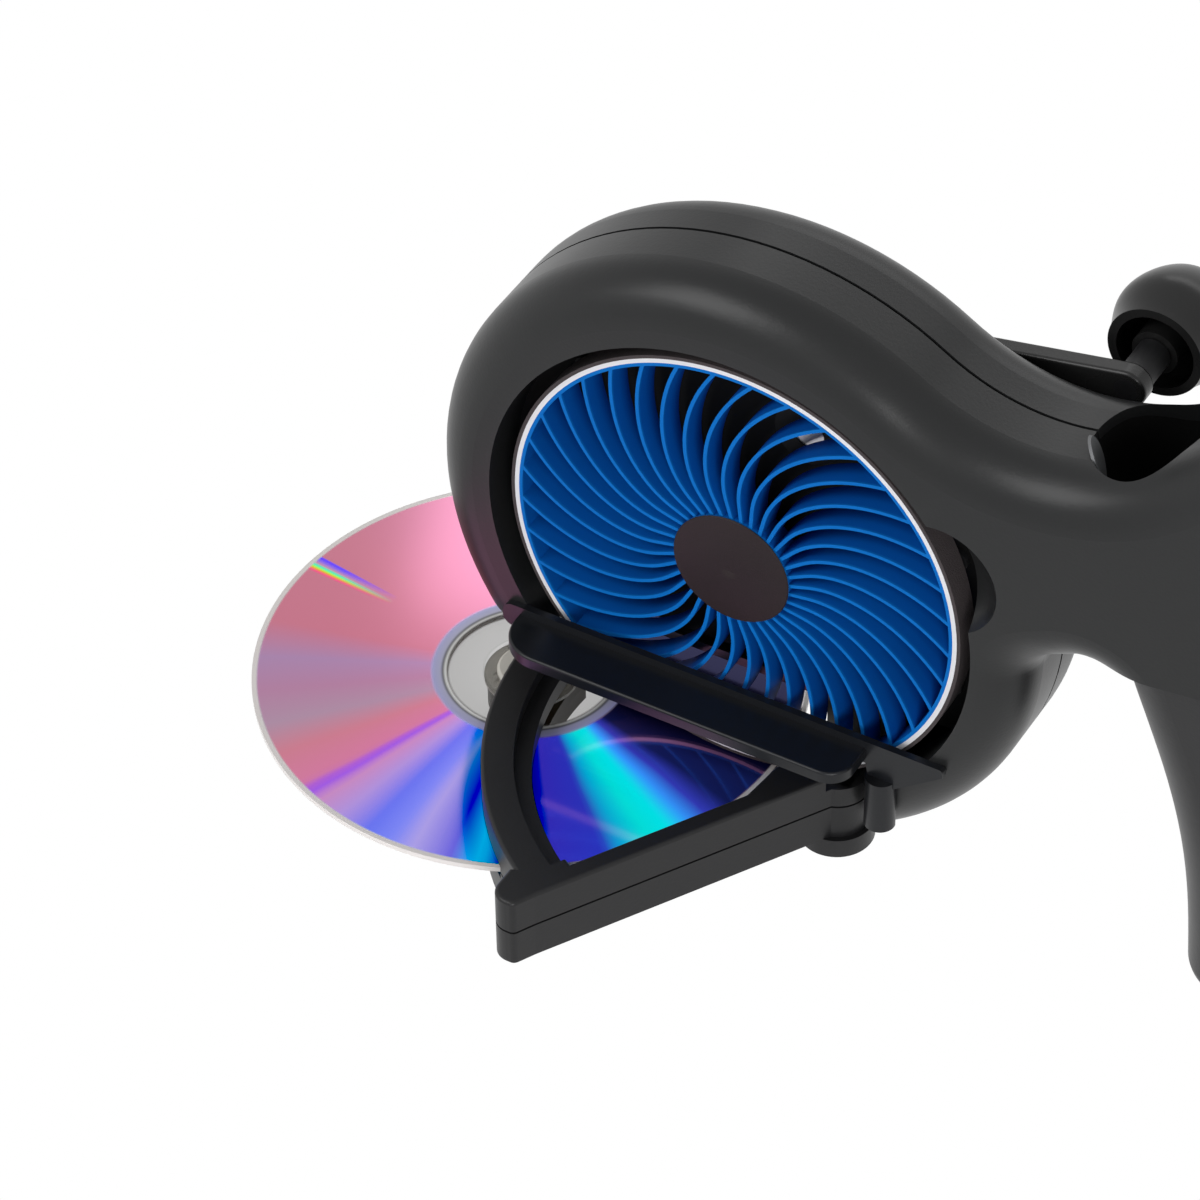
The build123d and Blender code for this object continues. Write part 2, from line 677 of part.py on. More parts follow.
with BuildPart() as crank_gear:
    gear(crank_x, crank_z, crank_teeth, gear_front_y, gear_back_y, gear_angle + 180 + 180 / crank_teeth)
    # thin web with five round windows
    turned_along_y(crank_x, crank_z, [(8.5, gear_front_y - 1), (24.5, gear_front_y - 1), (24.5, gear_front_y + 1.5),
                                      (8.5, gear_front_y + 1.5)], mode=Mode.SUBTRACT)
    turned_along_y(crank_x, crank_z, [(8.5, gear_back_y + 1), (24.5, gear_back_y + 1), (24.5, gear_back_y - 1.5),
                                      (8.5, gear_back_y - 1.5)], mode=Mode.SUBTRACT)
    for i in range(5):
        spot = around(crank_x, crank_z, 16.5, 72 * i + 20)
        round_along_y(*spot, 4.5, gear_front_y, gear_back_y, mode=Mode.SUBTRACT)
    round_along_y(crank_x, crank_z, crank_axle_r, gear_front_y - 1, gear_back_y + 1, mode=Mode.SUBTRACT)
finish(crank_gear, "crank_gear")

# =============== crank ===============
arm_back_y = arm_front_y + arm_thick
with BuildPart() as crank_axle:
    round_along_y(crank_x, crank_z, crank_axle_r, plate_front_y - 0.6, arm_back_y)
    round_along_y(crank_x, crank_z, 1.6, arm_back_y - 10, arm_back_y, mode=Mode.SUBTRACT)
finish(crank_axle, "crank_axle")

with BuildPart() as crank_screw:
    round_along_y(crank_x, crank_z, 5.0, arm_back_y, arm_back_y + 2)
    round_along_y(crank_x, crank_z, 1.6, arm_back_y - 10, arm_back_y)
finish(crank_screw, "crank_screw")

with BuildPart() as crank_bush:
    turned_along_y(crank_x, crank_z, [(crank_axle_r + running_gap, plate_front_y - bush_flange),
                                      (plate_bush_r + 2, plate_front_y - bush_flange), (plate_bush_r + 2, plate_front_y),
                                      (plate_bush_r, plate_front_y), (plate_bush_r, plate_back_y),
                                      (crank_axle_r + running_gap, plate_back_y)])
finish(crank_bush, "crank_bush")

with BuildPart() as rear_crank_bush:
    turned_along_y(crank_x, crank_z, [(crank_axle_r + running_gap, rear_bush_y), (crank_bush_r, rear_bush_y),
                                      (crank_bush_r, back_y), (crank_bush_r + 2.6, back_y),
                                      (crank_bush_r + 2.6, arm_front_y - part_gap),
                                      (crank_axle_r + running_gap, arm_front_y - part_gap)])
finish(rear_crank_bush, "rear_crank_bush")

with BuildPart() as crank_arm:
    with BuildSketch(upright(arm_back_y)) as arm_face:
        with BuildLine():
            CenterArc((crank_x, crank_z), arm_low_width / 2, 0, 360)
            CenterArc((knob_x, knob_z), arm_tip_width / 2, 0, 360)
        make_hull()
        with Locations((crank_x, crank_z)):
            Circle(crank_axle_r, mode=Mode.SUBTRACT)
        with Locations((knob_x, knob_z)):
            Circle(knob_pin_r, mode=Mode.SUBTRACT)
    extrude(amount=arm_thick)
    outer_rims = crank_arm.faces().sort_by(Axis.Y)[0].outer_wire().edges()
    outer_rims += crank_arm.faces().sort_by(Axis.Y)[-1].outer_wire().edges()
    fillet(outer_rims, radius=0.8)
finish(crank_arm, "crank_arm")

knob_front_y = arm_back_y + knob_gap
knob_back_y = knob_front_y + knob_length
pin_end_y = knob_back_y - 3.0
pin_collar_r = 3.6
with BuildPart() as knob_pin:
    turned_along_y(knob_x, knob_z, [(0, arm_front_y), (knob_pin_r, arm_front_y), (knob_pin_r, arm_back_y),
                                    (pin_collar_r, arm_back_y), (pin_collar_r, knob_front_y - part_gap),
                                    (knob_pin_r, knob_front_y - part_gap), (knob_pin_r, pin_end_y), (0, pin_end_y)])
finish(knob_pin, "knob_pin")

with BuildPart() as crank_knob:
    with BuildSketch(level(knob_z)) as section:
        with BuildLine():
            skin = Spline((knob_x + knob_r, knob_front_y), (knob_x + knob_belly_r, knob_front_y + 8), (knob_x + 9.2, knob_back_y - 2.2),
                          (knob_x, knob_back_y), tangents=[(0.15, 1), (-1, 0)])
            Line(skin @ 1, (knob_x, knob_back_y - knob_wall))
            room = Spline((knob_x, knob_back_y - knob_wall), (knob_x + 7.6, knob_back_y - 4.0),
                          (knob_x + knob_belly_r - knob_wall, knob_front_y + 8), (knob_x + knob_r - knob_wall, knob_front_y),
                          tangents=[(1, 0), (-0.15, -1)])
            Line(room @ 1, skin @ 0)
        make_face()
    revolve(section.sketch, axis=Axis((knob_x - disc_from_foot_x, 0, knob_z + disc_height), (0, 1, 0)))
    turned_along_y(knob_x, knob_z, [(knob_pin_r + running_gap, knob_front_y), (5.0, knob_front_y), (5.0, knob_back_y - 1.2),
                                    (0, knob_back_y - 1.2), (0, pin_end_y + 0.4), (knob_pin_r + running_gap, pin_end_y + 0.4)])
finish(crank_knob, "crank_knob")

# =============== disc feed ===============
cheek_front_y = pulley_front_y + pulley_width + 0.5
cheek_thick = 1.6
roller_front_y = feed_contact_r - feed_roller_width / 2
roller_back_y = feed_contact_r + feed_roller_width / 2
back_cheek_y = roller_back_y + 0.4
web_z = feed_z + feed_outer_r + 1.3
with BuildPart() as feed_bracket:
    with BuildSketch(upright(cheek_front_y + cheek_thick)) as cheek:
        with BuildLine():
            CenterArc((0, feed_z), 5.0, 0, 360)
            CenterArc(bracket_spots[0], 3.4, 0, 360)
            CenterArc((3, web_z), 4.0, 0, 360)
        make_hull()
    with BuildSketch(upright(cheek_front_y + cheek_thick)) as tail:
        with BuildLine():
            CenterArc(bracket_spots[0], 3.4, 0, 360)
            CenterArc(bracket_spots[1], 3.4, 0, 360)
        make_hull()
    extrude(cheek.sketch, amount=cheek_thick)
    extrude(tail.sketch, amount=cheek_thick)
    with BuildSketch(upright(back_cheek_y + cheek_thick)) as rear_cheek:
        with BuildLine():
            CenterArc((0, feed_z), 5.0, 0, 360)
            CenterArc((-2, web_z + 1), 2.0, 0, 360)
            CenterArc((4, web_z + 1), 2.0, 0, 360)
        make_hull()
    extrude(rear_cheek.sketch, amount=cheek_thick)
    block((-3.5, 6), (cheek_front_y, back_cheek_y + cheek_thick), (web_z, web_z + 2))
    for x, z in bracket_spots:
        round_along_y(x, z, 3.4, plate_back_y, cheek_front_y + cheek_thick)
        round_along_y(x, z, chassis_screw_r + thread_gap, plate_back_y, cheek_front_y + cheek_thick, mode=Mode.SUBTRACT)
    round_along_y(0, feed_z, 3.3, cheek_front_y - 1, back_cheek_y + cheek_thick + 1, mode=Mode.SUBTRACT)
finish(feed_bracket, "feed_bracket")

with BuildPart() as feed_screws:
    for x, z in bracket_spots:
        round_along_y(x, z, chassis_head_r - 0.2, plate_front_y - chassis_head, plate_front_y)
        round_along_y(x, z, chassis_screw_r, plate_front_y, cheek_front_y + 1)
finish(feed_screws, "feed_screws")

with BuildPart() as feed_bushes:
    for y in (cheek_front_y, back_cheek_y):
        turned_along_y(0, feed_z, [(feed_axle_r + running_gap, y), (3.3, y), (3.3, y + cheek_thick), (feed_axle_r + running_gap, y + cheek_thick)])
finish(feed_bushes, "feed_bushes")

with BuildPart() as feed_axle:
    round_along_y(0, feed_z, feed_axle_r, pulley_front_y, back_cheek_y + cheek_thick + 0.6)
finish(feed_axle, "feed_axle")

with BuildPart() as feed_pulley:
    turned_along_y(0, feed_z, pulley_outline(feed_pulley_r - pulley_lip, feed_axle_r))
finish(feed_pulley, "feed_pulley")

with BuildPart() as feed_roller:
    turned_along_y(0, feed_z, [(feed_axle_r, roller_front_y), (feed_roller_r, roller_front_y), (feed_roller_r, roller_back_y), (feed_axle_r, roller_back_y)])
finish(feed_roller, "feed_roller")

with BuildPart() as feed_tyre:
    turned_along_y(0, feed_z, [(feed_roller_r, roller_front_y), (feed_outer_r, roller_front_y), (feed_outer_r, roller_back_y), (feed_roller_r, roller_back_y)])
finish(feed_tyre, "feed_tyre")


def belt_loop(extra):
    """The outline of a band round both pulleys, at a height over their grooves."""
    with BuildSketch(upright(pulley_front_y + (pulley_width + belt_width) / 2)) as loop:
        with BuildLine():
            CenterArc((0, feed_z), feed_pulley_r - pulley_lip - belt_sink + extra, 0, 360)
            CenterArc((wheel_x, wheel_z), wheel_pulley_r - belt_sink + extra, 0, 360)
        make_hull()
    return loop.sketch


with BuildPart() as feed_belt:
    extrude(belt_loop(belt_thick), amount=belt_width)
    extrude(belt_loop(0), amount=belt_width, mode=Mode.SUBTRACT)
finish(feed_belt, "feed_belt")

# =============== tray ===============
bar_foot = (38.5, -66.0)
bar_head = (78.5, -0.5)
bar_length = math.hypot(bar_head[0] - bar_foot[0], bar_head[1] - bar_foot[1])
bar_dx = (bar_head[0] - bar_foot[0]) / bar_length
bar_dy = (bar_head[1] - bar_foot[1]) / bar_length
hub_wall_r = 7.0
hub_top_z = 4.8


def bar_point(along, inward):
    """A point of the bar: along its front face from the left end, and inward from that face."""
    return (bar_foot[0] + bar_dx * along - bar_dy * inward, bar_foot[1] + bar_dy * along + bar_dx * inward)


def arm_sector(inner, outer, first, last):
    with BuildLine() as sector:
        outside = CenterArc((pivot_x, pivot_y), outer, first, last - first)
        inside = CenterArc((pivot_x, pivot_y), inner, first, last - first)
        Line(outside @ 0, inside @ 0)
        Line(outside @ 1, inside @ 1)
    make_face(sector.edges())


def tray_plan(plane):
    with BuildSketch(plane) as plan:
        arm_sector(arm_inner_r, arm_outer_r, 176, 240)
        with BuildLine():
            Polyline(bar_point(0, 0), bar_point(bar_length, 0), bar_point(bar_length, bar_width + 2), bar_point(56, bar_width),
                     bar_point(6, bar_width), close=True)
        make_face()
        # end block at the left
        with BuildSketch(mode=Mode.PRIVATE) as block_end:
            with BuildLine():
                Polyline((30.9, -60.6), (30.9, -69.3), (36.8, -69.3), bar_point(1.5, 0), bar_point(9, bar_width), (36, -57.5), close=True)
            make_face()
            for corner, radius in (((30.9, -69.3), 4.0), ((36.8, -69.3), 1.6)):
                fillet(block_end.vertices().sort_by_distance(Vector(*corner))[0], radius=radius)
        add(block_end.sketch)
        with Locations((pivot_x, pivot_y)):
            Circle(hub_wall_r)
        # gusset between the window and the hinge
        with BuildLine():
            Polyline(bar_point(52, 1), bar_point(52.2, bar_width - 0.6), (63.9, -8), (66.7, -0.5), (70, 6), (76, -2), close=True)
        make_face()
    return plan.sketch


pad_r = 9.6
bush_r = 4.6
tray_screw_r = 0.95
tray_head_r = 1.6
tray_head = 1.3
tray_screw_spots = [(33.8, -64.8), bar_point(34, 2.2), (67.4, -7.0)]
wheel_zone = ((22, 78.6), (-3, 14))
with BuildPart() as tray_upper:
    # a groove runs round above the seam
    extrude(offset(tray_plan(level(tray_seam_z)), amount=-seam_groove, kind=Kind.INTERSECTION, mode=Mode.PRIVATE),
            amount=seam_groove)
    extrude(tray_plan(level(tray_seam_z + seam_groove)), amount=tray_top_z - tray_seam_z - seam_groove)
    fillet(tray_upper.faces().sort_by(Axis.Z)[-1].edges(), radius=0.8)
    # lower ledge along the inside of the arm
    with BuildSketch(level(arm_ledge_z)) as ledge:
        arm_sector(arm_inner_r - 1, arm_step_r, 170, 238)
    extrude(ledge.sketch, amount=10, mode=Mode.SUBTRACT)
    # room for the disc, the wheel and the hinge pin
    round_along_z(0, 0, disc_r + 1, tray_seam_z - 1, slot_gap, mode=Mode.SUBTRACT)
    block(*wheel_zone, (1.0, 20), mode=Mode.SUBTRACT)
    round_along_z(pivot_x, pivot_y, hub_wall_r + 1, hub_top_z, 20, mode=Mode.SUBTRACT)
    round_along_z(pivot_x, pivot_y, 4.4, tray_seam_z - 1, -0.2, mode=Mode.SUBTRACT)
    for x, y in tray_screw_spots:
        round_along_z(x, y, tray_screw_r + thread_gap, tray_seam_z - 1, 4.5, mode=Mode.SUBTRACT)
finish(tray_upper, "tray_upper")

with BuildPart() as tray_lower:
    extrude(tray_plan(level(tray_low_z)), amount=tray_seam_z - tray_low_z)
    round_along_z(0, 0, pad_r, tray_low_z, tray_seam_z)
    round_along_z(0, 0, disc_r + 1, -disc_thick - 1.0, 0, mode=Mode.SUBTRACT)
    round_along_z(0, 0, bush_r, tray_low_z - 1, 0, mode=Mode.SUBTRACT)
    round_along_z(pivot_x, pivot_y, hinge_boss_r, hinge_boss_z, tray_low_z)
    round_along_z(pivot_x, pivot_y, 4.0, hinge_boss_z - 1, 0, mode=Mode.SUBTRACT)
    round_along_z(pivot_x, pivot_y, 4.4, -2.8, 0, mode=Mode.SUBTRACT)
    for x, y in tray_screw_spots:
        round_along_z(x, y, tray_screw_r + thread_gap, tray_low_z - 1, 0, mode=Mode.SUBTRACT)
        round_along_z(x, y, tray_head_r + 0.1, tray_low_z - 1, tray_low_z + tray_head, mode=Mode.SUBTRACT)
finish(tray_lower, "tray_lower")

with BuildPart() as tray_screws:
    for x, y in tray_screw_spots:
        round_along_z(x, y, tray_head_r, tray_low_z + 0.1, tray_low_z + tray_head)
        round_along_z(x, y, tray_screw_r, tray_low_z + tray_head, 4.0)
finish(tray_screws, "tray_screws")

with BuildPart() as tray_bush:
    turned_along_z(pivot_x, pivot_y, [(hinge_pin_r + running_gap, hinge_boss_z), (4.0, hinge_boss_z), (4.0, -2.9), (hinge_pin_r + running_gap, -2.9)])
finish(tray_bush, "tray_bush")

with BuildPart() as hinge_pin:
    turned_along_z(pivot_x, pivot_y, [(0, -17.6), (4.0, -17.6), (4.0, -16.5), (hinge_pin_r, -16.5), (hinge_pin_r, -1.0), (0, -1.0)])
finish(hinge_pin, "hinge_pin")

with BuildPart() as hinge_clip:
    turned_along_z(pivot_x, pivot_y, [(hinge_pin_r, -2.4), (4.0, -2.4), (4.0, -1.6), (hinge_pin_r, -1.6)])
finish(hinge_clip, "hinge_clip")

# =============== turntable and disc ===============
with BuildPart() as turntable_bush:
    turned_along_z(0, 0, [(turntable_stem_r + running_gap, tray_low_z), (bush_r, tray_low_z), (bush_r, -disc_thick - 1.0), (turntable_stem_r + running_gap, -disc_thick - 1.0)])
finish(turntable_bush, "turntable_bush")

stem_end_z = tray_low_z - 0.2
with BuildPart() as turntable:
    turned_along_z(0, 0, [(0, stem_end_z), (turntable_stem_r, stem_end_z), (turntable_stem_r, -disc_thick - flange_thick),
                          (flange_r, -disc_thick - flange_thick), (flange_r, -disc_thick), (spindle_r, -disc_thick),
                          (spindle_r, 0.2), (spindle_r - 0.6, 0.8), (3.2, 0.8), (3.2, -0.6), (0, -0.6)])
    round_along_z(0, 0, 1.3, stem_end_z, stem_end_z + 5, mode=Mode.SUBTRACT)
finish(turntable, "turntable")

with BuildPart() as turntable_screw:
    turned_along_z(0, 0, [(0, stem_end_z - 1.4), (4.2, stem_end_z - 1.4), (4.2, stem_end_z), (1.3, stem_end_z), (1.3, stem_end_z + 5), (0, stem_end_z + 5)])
finish(turntable_screw, "turntable_screw")

with BuildPart() as disc:
    turned_along_z(0, 0, [(disc_hole_r, -disc_thick), (disc_r, -disc_thick), (disc_r, 0), (disc_hole_r, 0)])
finish(disc, "disc")
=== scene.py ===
import json
import math
import bpy
from mathutils import Matrix, Vector

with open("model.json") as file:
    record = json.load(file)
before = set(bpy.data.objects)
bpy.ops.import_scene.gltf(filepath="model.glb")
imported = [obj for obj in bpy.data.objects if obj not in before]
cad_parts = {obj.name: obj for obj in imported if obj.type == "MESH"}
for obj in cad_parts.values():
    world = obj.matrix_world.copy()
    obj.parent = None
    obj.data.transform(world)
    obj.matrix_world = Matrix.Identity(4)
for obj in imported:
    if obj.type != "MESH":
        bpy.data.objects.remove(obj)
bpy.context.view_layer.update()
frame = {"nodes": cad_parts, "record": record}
nodes = frame["nodes"]
print("frame loaded:", len(nodes), "nodes")

mm = 0.001
discCentre = Vector((-166.5, -14.55, 19.0)) * mm    # centre of the disc's upper face

black = (0.0, 0.0, 0.0)
white = (1.0, 1.0, 1.0)


def grey(level):
    return (level, level, level)


def addNode(tree, kind, **values):
    node = tree.nodes.new(kind)
    for name, value in values.items():
        setattr(node, name, value)
    return node


def link(tree, fromSocket, toSocket):
    tree.links.new(fromSocket, toSocket)


def mathNode(tree, operation, first, second=None, third=None):
    node = addNode(tree, "ShaderNodeMath", operation=operation)
    for index, value in enumerate((first, second, third)):
        if value is None:
            continue
        if isinstance(value, (int, float)):
            node.inputs[index].default_value = value
        else:
            link(tree, value, node.inputs[index])
    return node.outputs[0]


def rampNode(tree, factor, stops):
    node = addNode(tree, "ShaderNodeValToRGB")
    ramp = node.color_ramp
    while len(ramp.elements) < len(stops):
        ramp.elements.new(0.5)
    for element, (position, colour) in zip(ramp.elements, sorted(stops)):
        element.position = position
        element.color = (*colour, 1.0)
    link(tree, factor, node.inputs[0])
    return node.outputs[0]


def mixColour(tree, factor, first, second, blend="MIX"):
    node = addNode(tree, "ShaderNodeMix", data_type="RGBA", blend_type=blend)
    for socket, value in ((node.inputs[0], factor), (node.inputs[6], first), (node.inputs[7], second)):
        if isinstance(value, (int, float)):
            socket.default_value = value
        elif isinstance(value, tuple):
            socket.default_value = (*value, 1.0)
        else:
            link(tree, value, socket)
    return node.outputs[2]


def splitPlace(tree, place, centre=None):
    # the separate coordinates of a place, from a centre if there is one
    if centre is not None:
        centred = addNode(tree, "ShaderNodeVectorMath", operation="SUBTRACT")
        centred.inputs[1].default_value = centre
        link(tree, place, centred.inputs[0])
        place = centred.outputs[0]
    split = addNode(tree, "ShaderNodeSeparateXYZ")
    link(tree, place, split.inputs[0])
    return place, split.outputs


def newGroup(name, inputs, outputs):
    tree = bpy.data.node_groups.new(name, "ShaderNodeTree")
    for socketName, kind, value in inputs:
        socket = tree.interface.new_socket(name=socketName, in_out="INPUT", socket_type=kind)
        if value is not None:
            socket.default_value = value
    for socketName, kind in outputs:
        tree.interface.new_socket(name=socketName, in_out="OUTPUT", socket_type=kind)
    return tree, addNode(tree, "NodeGroupInput"), addNode(tree, "NodeGroupOutput")


# moulded grain, shared by the plastics, rubbers and metals
grainLook = {"fineDetail": 3.0, "patchScale": 38.0, "patchDetail": 5.0, "patchRoughness": 0.6,
             "edgeFrom": 0.53, "edgeTo": 0.66, "bumpDistance": 0.5 * mm}


def makeGrainGroup():
    tree, inside, outside = newGroup(
        "moulded grain",
        [("Colour", "NodeSocketColor", (0.5, 0.5, 0.5, 1.0)),
         ("Worn colour", "NodeSocketColor", (0.6, 0.6, 0.6, 1.0)),
         ("Grain scale", "NodeSocketFloat", 900.0),
         ("Mottling", "NodeSocketFloat", 0.15),
         ("Edge wear", "NodeSocketFloat", 0.2),
         ("Roughness", "NodeSocketFloat", 0.4),
         ("Roughness change", "NodeSocketFloat", 0.08)],
        [("Colour", "NodeSocketColor"), ("Roughness", "NodeSocketFloat"), ("Height", "NodeSocketFloat")])
    place = addNode(tree, "ShaderNodeTexCoord")
    fine = addNode(tree, "ShaderNodeTexNoise")
    fine.inputs["Detail"].default_value = grainLook["fineDetail"]
    link(tree, place.outputs["Object"], fine.inputs["Vector"])
    link(tree, inside.outputs["Grain scale"], fine.inputs["Scale"])
    broad = addNode(tree, "ShaderNodeTexNoise")
    broad.inputs["Scale"].default_value = grainLook["patchScale"]
    broad.inputs["Detail"].default_value = grainLook["patchDetail"]
    broad.inputs["Roughness"].default_value = grainLook["patchRoughness"]
    link(tree, place.outputs["Object"], broad.inputs["Vector"])
    shape = addNode(tree, "ShaderNodeNewGeometry")
    edge = addNode(tree, "ShaderNodeMapRange")
    edge.inputs["From Min"].default_value = grainLook["edgeFrom"]
    edge.inputs["From Max"].default_value = grainLook["edgeTo"]
    link(tree, shape.outputs["Pointiness"], edge.inputs["Value"])
    worn = mathNode(tree, "MULTIPLY", edge.outputs[0], inside.outputs["Edge wear"])
    patch = mathNode(tree, "MULTIPLY", broad.outputs["Fac"], inside.outputs["Mottling"])
    shade = mathNode(tree, "MAXIMUM", worn, patch)
    colour = mixColour(tree, shade, inside.outputs["Colour"], inside.outputs["Worn colour"])
    link(tree, colour, outside.inputs["Colour"])
    uneven = mathNode(tree, "SUBTRACT", broad.outputs["Fac"], 0.5)
    rough = mathNode(tree, "MULTIPLY_ADD", uneven, inside.outputs["Roughness change"],
                     inside.outputs["Roughness"])
    link(tree, rough, outside.inputs["Roughness"])
    link(tree, fine.outputs["Fac"], outside.inputs["Height"])
    return tree


mouldedGrain = makeGrainGroup()


def mouldedMaterial(name, colour, wornColour, roughness, grainScale=900.0, grainDepth=0.02,
                    mottling=0.12, edgeWear=0.25, roughnessChange=0.1, specular=0.5, metallic=0.0,
                    sheen=0.0):
    material = bpy.data.materials.new(name)
    material.use_nodes = True
    tree = material.node_tree
    shader = tree.nodes["Principled BSDF"]
    grain = addNode(tree, "ShaderNodeGroup", node_tree=mouldedGrain)
    grain.inputs["Colour"].default_value = (*colour, 1.0)
    grain.inputs["Worn colour"].default_value = (*wornColour, 1.0)
    grain.inputs["Grain scale"].default_value = grainScale
    grain.inputs["Mottling"].default_value = mottling
    grain.inputs["Edge wear"].default_value = edgeWear
    grain.inputs["Roughness"].default_value = roughness
    grain.inputs["Roughness change"].default_value = roughnessChange
    link(tree, grain.outputs["Colour"], shader.inputs["Base Color"])
    link(tree, grain.outputs["Roughness"], shader.inputs["Roughness"])
    bump = addNode(tree, "ShaderNodeBump")
    bump.inputs["Strength"].default_value = grainDepth
    bump.inputs["Distance"].default_value = grainLook["bumpDistance"]
    link(tree, grain.outputs["Height"], bump.inputs["Height"])
    link(tree, bump.outputs["Normal"], shader.inputs["Normal"])
    shader.inputs["Specular IOR Level"].default_value = specular
    shader.inputs["Metallic"].default_value = metallic
    shader.inputs["Sheen Weight"].default_value = sheen
    return material


# one finish for each slot
finishes = {
    "shell_black": dict(colour=(0.010, 0.0105, 0.011), wornColour=(0.028, 0.028, 0.028), roughness=0.34,
                        grainScale=1400.0, grainDepth=0.05, edgeWear=0.3, specular=0.28),
    "guard_black": dict(colour=(0.006, 0.007, 0.009), wornColour=(0.03, 0.029, 0.03), roughness=0.30,
                        grainScale=1400.0, grainDepth=0.04, specular=0.25),
    "grip_black": dict(colour=(0.012, 0.012, 0.013), wornColour=(0.03, 0.03, 0.03), roughness=0.38,
                       grainScale=1400.0, grainDepth=0.05, specular=0.3),
    "tray_black": dict(colour=(0.009, 0.009, 0.010), wornColour=(0.032, 0.031, 0.03), roughness=0.40,
                       grainScale=1400.0, grainDepth=0.05, specular=0.28),
    "knob_black": dict(colour=(0.010, 0.010, 0.010), wornColour=(0.03, 0.03, 0.03), roughness=0.28,
                       grainScale=1400.0, grainDepth=0.03, specular=0.3),
    "black_steel": dict(colour=(0.008, 0.008, 0.009), wornColour=(0.03, 0.03, 0.03), roughness=0.42,
                        specular=0.3),
    "black_bush": dict(colour=(0.006, 0.006, 0.006), wornColour=(0.02, 0.02, 0.02), roughness=0.6,
                       specular=0.15),
    "socket_black": dict(colour=(0.003, 0.003, 0.003), wornColour=(0.01, 0.01, 0.01), roughness=0.55,
                         specular=0.15),
    "badge_plate": dict(colour=(0.15, 0.156, 0.164), wornColour=(0.2, 0.2, 0.2), roughness=0.55),
    "wheel_white": dict(colour=(0.66, 0.66, 0.69), wornColour=(0.76, 0.76, 0.78), roughness=0.75,
                        grainScale=2500.0, grainDepth=0.12, sheen=0.1),
    "abrasive": dict(colour=(0.035, 0.028, 0.03), wornColour=(0.09, 0.07, 0.07), roughness=0.85,
                     grainScale=4200.0, grainDepth=0.5, mottling=0.4),
    "cap_black": dict(colour=(0.014, 0.009, 0.010), wornColour=(0.04, 0.026, 0.028), roughness=0.5,
                      grainScale=2600.0, grainDepth=0.1, mottling=0.3, specular=0.2),
    "pale_plastic": dict(colour=(0.62, 0.6, 0.54), wornColour=(0.72, 0.7, 0.64), roughness=0.45),
    "gear_white": dict(colour=(0.66, 0.66, 0.62), wornColour=(0.75, 0.75, 0.72), roughness=0.4),
    "steel": dict(colour=(0.52, 0.52, 0.53), wornColour=(0.68, 0.68, 0.69), roughness=0.3, metallic=1.0,
                  grainScale=3000.0, grainDepth=0.03),
    "bush_bronze": dict(colour=(0.52, 0.36, 0.18), wornColour=(0.66, 0.5, 0.3), roughness=0.42,
                        metallic=1.0, grainScale=2600.0, grainDepth=0.06),
    # painted shade: the grey plate is coloured black, for the dark inside the housing
    "plate_grey": dict(colour=(0.003, 0.003, 0.003), wornColour=(0.01, 0.01, 0.01), roughness=0.6,
                       specular=0.1),
    "belt_rubber": dict(colour=(0.02, 0.02, 0.02), wornColour=(0.05, 0.05, 0.05), roughness=0.7),
    "tyre_rubber": dict(colour=(0.03, 0.03, 0.03), wornColour=(0.07, 0.07, 0.07), roughness=0.8,
                        grainDepth=0.15),
}
slotMaterials = {}
for slot, values in finishes.items():
    slotMaterials[slot] = mouldedMaterial(slot.replace("_", " "), **values)
print("moulded and turned finishes:", len(slotMaterials))

# the wheel's blue: painted shade deep between the vanes, and a painted highlight along their front edges
blueWheel = {
    # the vane colour is the blue's own; the colour deep between the vanes is painted shade; the edge colour
    # serves both as the edge wear's colour and as the painted highlight
    "paintedShadeDeep": (0.0, 0.022, 0.20), "vane": (0.0, 0.075, 0.36), "edge": (0.002, 0.13, 0.46),
    "front": discCentre.y - 1.6 * mm, "depth": 6.3 * mm,    # the vanes' front edges, and their depth
    "paintedHighlightShare": [(0.0, white), (0.03, grey(0.9)), (0.10, black)],
    "paintedShadeShare": [(0.45, black), (1.0, grey(0.8))],
}


def makeWheelBlue():
    material = mouldedMaterial("wheel blue", blueWheel["vane"], blueWheel["edge"], roughness=0.6,
                               grainScale=2200.0, grainDepth=0.05, mottling=0.25, edgeWear=0.3,
                               specular=0.08)
    tree = material.node_tree
    shader = tree.nodes["Principled BSDF"]
    grainColour = shader.inputs["Base Color"].links[0].from_socket
    place = addNode(tree, "ShaderNodeTexCoord")
    _, across = splitPlace(tree, place.outputs["Object"])
    depth = mathNode(tree, "SUBTRACT", across["Y"], blueWheel["front"])
    share = mathNode(tree, "DIVIDE", depth, blueWheel["depth"])
    # painted highlight near the vanes' front edges and painted shade further back between them, both by
    # depth from the front
    edge = rampNode(tree, share, blueWheel["paintedHighlightShare"])
    back = rampNode(tree, share, blueWheel["paintedShadeShare"])
    shaded = mixColour(tree, back, grainColour, blueWheel["paintedShadeDeep"])
    lit = mixColour(tree, edge, shaded, blueWheel["edge"])
    link(tree, lit, shader.inputs["Base Color"])
    return material


slotMaterials["wheel_blue"] = makeWheelBlue()
